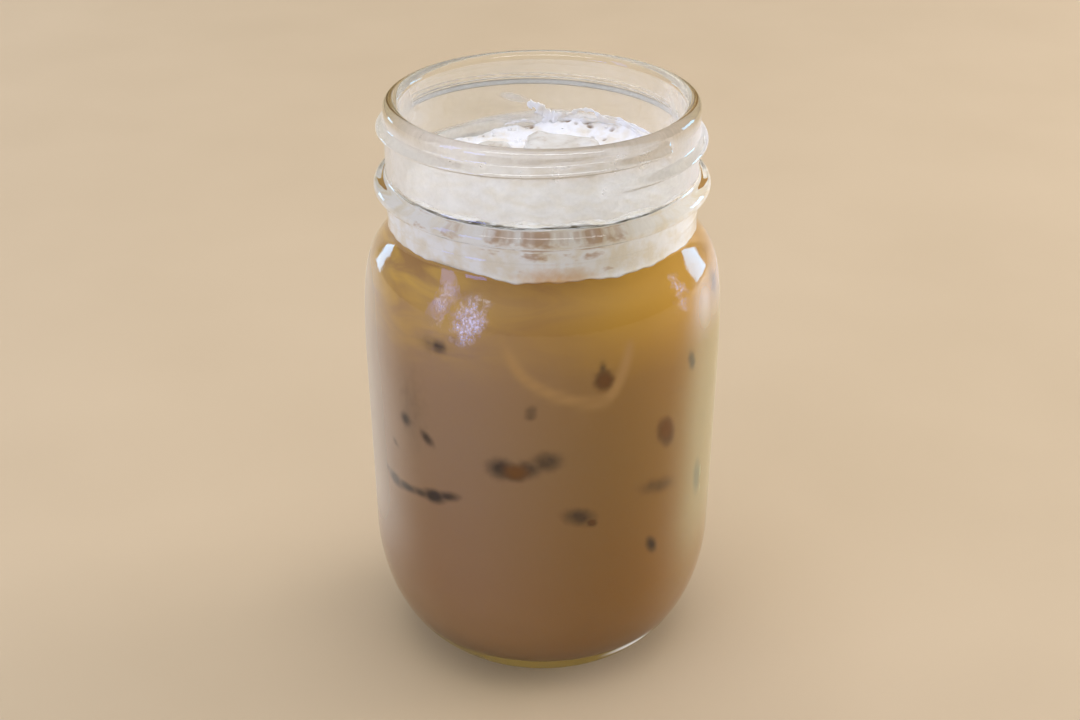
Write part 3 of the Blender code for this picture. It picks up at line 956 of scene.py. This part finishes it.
def milk_foam():
    """Whipped milk and coffee: pale fine froth, browner near the drink and in gaps against the glass."""
    material, tree, place = new_finish("milk foam")
    at = {"Vector": place}
    grain = add(tree, "TexNoise", {"Scale": 1 / (1.6 * MM), "Detail": 4.0}, at)
    cloud = add(tree, "TexNoise", {"Scale": 1 / (4 * MM), "Detail": 3.0}, at)
    flat = add(tree, "Mapping", {"Scale": (1.0, 1.0, 2.2)}, at)
    speck = add(tree, "TexNoise", {"Scale": 1 / (1.3 * MM), "Detail": 3.0}, {"Vector": flat})
    pale = add(tree, "ValToRGB", {"stops": ((0.36, "#E3DCD2"), (0.56, "#EDEDF2"))}, {0: cloud})
    layers = (
        ("tan", grain, 0.6, 0.26, 1.0, 1.0, "#D4A97A"),
        ("gap", speck, 1.3, 0.40, 0.90, 0.65, "#A5743F"),
        ("hole", grain, 0.6, 0.25, 0.8, 0.9, "#8D7458"),
        ("ring", grain, 0.0, 0.0, 1.0, 1.0, "#3A3216"),
    )
    colour = painted(tree, pale, "LINEAR", layers)
    bump = add(tree, "Bump", {"Strength": 0.35, "Distance": 0.3 * MM}, {"Height": grain})
    shader = add(
        tree,
        "BsdfPrincipled",
        {"Roughness": 0.6, "Specular IOR Level": 0.3},
        {"Base Color": colour, "Normal": bump},
    )
    add(tree, "OutputMaterial", {}, {"Surface": shader})
    return material


def dried_film():
    """Milk film drying on glass: see-through, with cloudy and speckled patches, lit from both sides."""
    material, tree, place = new_finish("milk film on glass")
    film, dun, white = (
        add(tree, "Attribute", {"attribute_name": name}).outputs["Fac"] for name in ("film", "dun", "white")
    )
    patchy, grainy = (
        add(
            tree,
            "MapRange",
            {"From Min": start, "From Max": end, "To Min": least, "To Max": full},
            {"Value": add(tree, "TexNoise", {"Scale": 1 / (size * MM), "Detail": 3.0}, {"Vector": place})},
        )
        for size, start, end, least, full in ((5, 0.3, 0.7, 0.75, 1.12), (0.7, 0.35, 0.65, 0.93, 1.05))
    )
    both = add(tree, "Math", TIMES, {0: patchy, 1: grainy})
    cover = add(tree, "Math", {"operation": "MULTIPLY", "use_clamp": True}, {0: both, 1: film})
    tone = add(tree, "Mix", {"data_type": "RGBA", 6: "#E6E3E3", 7: "#DDD3CA"}, {0: dun}).outputs[2]
    tone = add(tree, "Mix", {"data_type": "RGBA", 7: "#F8F8FC"}, {0: white, 6: tone}).outputs[2]
    matt = add(
        tree,
        "BsdfPrincipled",
        {"Roughness": 0.7, "Specular IOR Level": 0.0},
        {"Base Color": tone, "Alpha": cover},
    )
    glow = add(tree, "BsdfTranslucent", {}, {"Color": tone})
    clear = add(tree, "BsdfTransparent")
    lit = add(tree, "MixShader", {}, {0: cover, 1: clear, 2: glow})
    surface = add(tree, "MixShader", {0: 0.5}, {1: matt, 2: lit})
    add(tree, "OutputMaterial", {}, {"Surface": surface})
    return material


def wet_ice():
    """Freezer ice, melting: a wet smooth skin over a cloudy core, stained in specks by the coffee."""
    material, tree, place = new_finish("wet cloudy ice")
    at = {"Vector": place}
    cloud = add(tree, "TexNoise", {"Scale": 1 / (5 * MM), "Detail": 3.0}, at)
    tone = add(tree, "ValToRGB", {"stops": ((0.35, "#D6CFC4"), (0.65, "#E6E4E1"))}, {0: cloud})
    bump = add(tree, "Bump", {"Strength": 0.25, "Distance": 0.5 * MM}, {"Height": cloud})
    speck = add(tree, "TexNoise", {"Scale": 1 / (1.6 * MM), "Detail": 3.0}, at)
    stain = add(tree, "MapRange", {"From Min": 0.56, "From Max": 0.68, "To Max": 0.45}, {"Value": speck})
    colour = add(tree, "Mix", {"data_type": "RGBA", 7: "#B49C86"}, {0: stain, 6: tone}).outputs[2]
    shader = add(
        tree,
        "BsdfPrincipled",
        {"Roughness": 0.14, "IOR": 1.31, "Transmission Weight": 0.16},
        {"Normal": bump, "Base Color": colour},
    )
    add(tree, "OutputMaterial", {}, {"Surface": shader})
    return material


def pale_floor():
    """A plain matt table top in a warm pale tone, with a faint mottle."""
    material, tree, place = new_finish("pale matt table")
    mottle = add(tree, "TexNoise", {"Scale": 1 / (60 * MM), "Detail": 2.0}, {"Vector": place})
    tone = add(tree, "ValToRGB", {"stops": ((0.0, "#B7A384"), (1.0, "#BFAB8C"))}, {0: mottle})
    shader = add(tree, "BsdfPrincipled", {"Roughness": 0.55}, {"Base Color": tone})
    add(tree, "OutputMaterial", {}, {"Surface": shader})
    return material


def dress(piece, material, node=None):
    """Ride on the part's body, take a slot and a finish, and stand for a solid where one is named."""
    piece.data.materials.append(material)
    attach(piece, "root")
    if node:
        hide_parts(node)


def camera():
    """The photo's view: 28 degrees down from 0.36 m away, at a point on the jar's axis."""
    data = bpy.data.cameras.new("camera")
    data.lens = SENSOR * LENS / FRAME_WIDE
    data.sensor_width = SENSOR
    data.shift_x = SHIFT / FRAME_WIDE
    data.clip_start = 0.01
    obj = placed("camera", data)
    pitch = math.radians(CAMERA_PITCH)
    obj.location = (0.0, -CAMERA_REACH * math.cos(pitch), CAMERA_AIM + CAMERA_REACH * math.sin(pitch))
    obj.rotation_euler = (math.pi / 2 - pitch, 0.0, 0.0)
    bpy.context.scene.camera = obj


def softbox(name, place, size, power, colour, gleam=False):
    """An area lamp turned to the jar, fading at its edges, for matt surfaces or for gleams in glossy ones."""
    data = bpy.data.lights.new(name, "AREA")
    data.shape = "RECTANGLE"
    data.size, data.size_y = size
    data.energy = power
    data.color = linear(colour)[:3]
    data.use_nodes = True
    tree = data.node_tree
    across = add(tree, "SeparateXYZ", {}, {0: add(tree, "NewGeometry").outputs["Parametric"]})
    full_at = 0.40 if gleam else 0.34
    span = {"interpolation_type": "SMOOTHSTEP", "From Min": 0.5, "From Max": full_at, "To Max": 1.2}
    fades = []
    for source in (across.outputs[0], across.outputs[1]):
        off = add(tree, "Math", {"operation": "SUBTRACT", 1: 0.5}, {0: source})
        far = add(tree, "Math", {"operation": "ABSOLUTE"}, {0: off})
        fades.append(add(tree, "MapRange", span, {"Value": far}))
    strength = add(tree, "Math", TIMES, {0: fades[0], 1: fades[1]})
    tree.links.new(strength.outputs[0], tree.nodes["Emission"].inputs["Strength"])
    obj = placed(name, data)
    obj.visible_diffuse = not gleam
    obj.visible_glossy = gleam
    obj.visible_transmission = False
    way = np.array((0.0, 0.0, LAMP_AIM)) - np.array(place)
    level = math.hypot(way[0], way[1])
    obj.location = place
    obj.rotation_euler = (math.pi / 2 + math.atan2(way[2], level), 0.0, math.atan2(-way[0], way[1]))


def surround():
    """An even pale room, brighter overhead and behind the jar.

    What is seen of it in or through the glass is browner below, and reflections of it are dimmer.
    """
    world = bpy.data.worlds.new("surround")
    bpy.context.scene.world = world
    world.use_nodes = True
    tree = world.node_tree
    split = add(tree, "SeparateXYZ", {}, {0: add(tree, "TexCoord").outputs["Generated"]})
    height = add(tree, "MapRange", {"From Min": -0.3, "From Max": 1.0}, {"Value": split.outputs["Z"]})
    even = add(tree, "ValToRGB", {"stops": ((0.1, "#C9C2BB"), (0.8, "#F2F3F8"))}, {0: height})
    stops = ((0.2, "#7A6C52"), (0.45, "#A89E8C"), (0.85, "#F0F1F6"))
    room = add(tree, "ValToRGB", {"stops": stops}, {0: height})
    depth = add(
        tree,
        "MapRange",
        {
            "interpolation_type": "SMOOTHSTEP",
            "From Min": -0.9,
            "From Max": 0.5,
            "To Min": 0.68,
            "To Max": 0.82,
        },
        {"Value": split.outputs["Y"]},
    )
    path = add(tree, "LightPath")
    glossy = path.outputs["Is Glossy Ray"]
    seen = add(tree, "Math", {"operation": "MAXIMUM"}, {0: glossy, 1: path.outputs["Is Transmission Ray"]})
    colour = add(tree, "Mix", {"data_type": "RGBA"}, {0: seen, 6: even, 7: room}).outputs[2]
    dim = add(tree, "Math", {"operation": "MULTIPLY_ADD", 1: -0.45, 2: 1.0}, {0: glossy})
    strength = add(tree, "Math", TIMES, {0: depth, 1: dim})
    back = tree.nodes["Background"]
    tree.links.new(colour, back.inputs["Color"])
    tree.links.new(strength.outputs[0], back.inputs["Strength"])


# Lamps: name, place and size in metres, power in watts and colour. The first light matt surfaces alone.
SOFT_LIGHTS = [
    ("window_left", (-0.95, 0.95, 0.36), (1.5, 0.62), 6.5, "#F2F5FF"),
    ("window_right", (1.10, 0.42, 0.30), (0.8, 0.6), 14, "#F8F3FA"),
    ("sky_front_left", (-0.92, -0.70, 0.38), (0.95, 0.85), 6, "#CDD8FF"),
    ("sky_above", (0.05, 0.0, 1.5), (1.2, 1.2), 11, "#FBFAFF"),
]
# These are seen as reflections in the glass and the wet ice alone
GLEAMS = [
    ("gleam_left", (-1.117, -0.44, 0.47), (0.27, 0.94), 2.2, "#7490FF"),
    ("gleam_front_left", (-0.87, -0.826, 0.25), (0.36, 0.44), 1.9, "#7C92FF"),
    ("gleam_back_left", (-0.906, 0.787, 0.13), (0.24, 0.22), 0.75, "#ACD6FF"),
    ("gleam_right", (1.02, 0.64, 0.24), (0.40, 0.36), 2.4, "#92D0FF"),
    ("gleam_above_front", (0.0, -0.62, 1.05), (1.6, 0.18), 5.0, "#F4F8FF"),
]


def studio():
    """A pale floor, the room and the lamps."""
    mesh = bpy.data.meshes.new("table_top")
    mesh.from_pydata([(-3, -3, 0), (3, -3, 0), (3, 3, 0), (-3, 3, 0)], [], [(0, 1, 2, 3)])
    mesh.materials.append(pale_floor())
    placed("table_top", mesh)
    surround()
    for lamp in SOFT_LIGHTS:
        softbox(*lamp)
    for lamp in GLEAMS:
        softbox(*lamp, gleam=True)


def main():
    """The camera, the studio and every piece with its finish."""
    bpy.context.scene.view_settings.view_transform = "Standard"
    camera()
    studio()
    froth, frozen, film = milk_foam(), wet_ice(), dried_film()
    dress(jar(), pressed_glass(), "jar")
    dress(drink(), milk_coffee(), "coffee")
    dress(foam(), froth, "foam")
    for node, *block in ICE_BLOCKS:
        dress(ice(*block), frozen, node)
    dress(froth_strands(), froth)
    dress(froth_bubbles(), froth)
    dress(neck_film(), film)


main()
